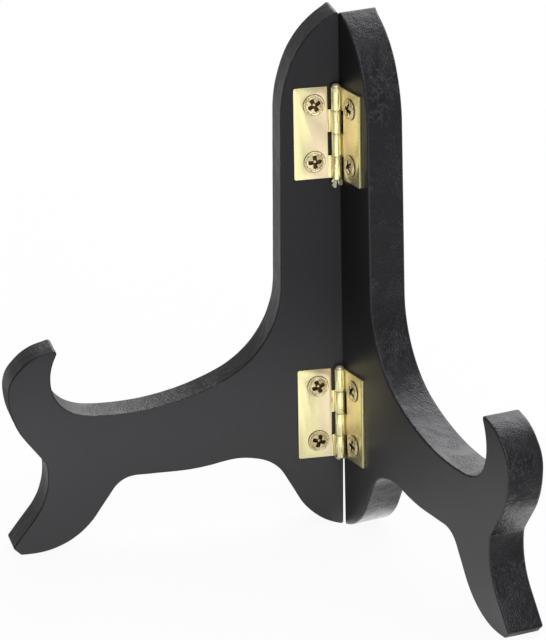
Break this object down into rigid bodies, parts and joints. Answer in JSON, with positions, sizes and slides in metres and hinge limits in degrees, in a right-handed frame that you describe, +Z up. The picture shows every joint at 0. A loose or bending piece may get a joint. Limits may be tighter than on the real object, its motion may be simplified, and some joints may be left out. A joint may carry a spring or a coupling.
{
  "type": "photo album stand",
  "caption": "Folding display stand of two flat boards with hooked arms, joined along their spine edges by small butt hinges.",
  "frame": {"origin": "on the table, at the middle of the open stand's footprint", "axes": "+X to the right of someone facing the open side, +Y to the back, towards the spine, +Z up; the fold axis runs along Z"},
  "size_m": [0.1552, 0.0641, 0.143],
  "materials": {
    "black_lacquer": "satin black lacquer on fibreboard",
    "hinge_brass": "polished pressed brass",
    "pin_brass": "polished brass wire",
    "screw_brass": "brass-plated, slightly pink"
  },
  "bodies": {
    "left": {"left_board": "black_lacquer", "upper_hinge_left_leaf": "hinge_brass", "lower_hinge_left_leaf": "hinge_brass", "upper_hinge_pin": "pin_brass", "lower_hinge_pin": "pin_brass", "upper_left_screw_top": "screw_brass", "upper_left_screw_bottom": "screw_brass", "lower_left_screw_top": "screw_brass", "lower_left_screw_bottom": "screw_brass"},
    "right": {"right_board": "black_lacquer", "upper_hinge_right_leaf": "hinge_brass", "lower_hinge_right_leaf": "hinge_brass", "upper_right_screw_top": "screw_brass", "upper_right_screw_bottom": "screw_brass", "lower_right_screw_top": "screw_brass", "lower_right_screw_bottom": "screw_brass"}
  },
  "joints": [
    {"name": "fold", "type": "hinge", "parent": "left", "child": "right", "pos_m": [0, 0.02187, 0], "axis": [0, 0, -1], "range_deg": [-0.9, 105.4]}
  ]
}
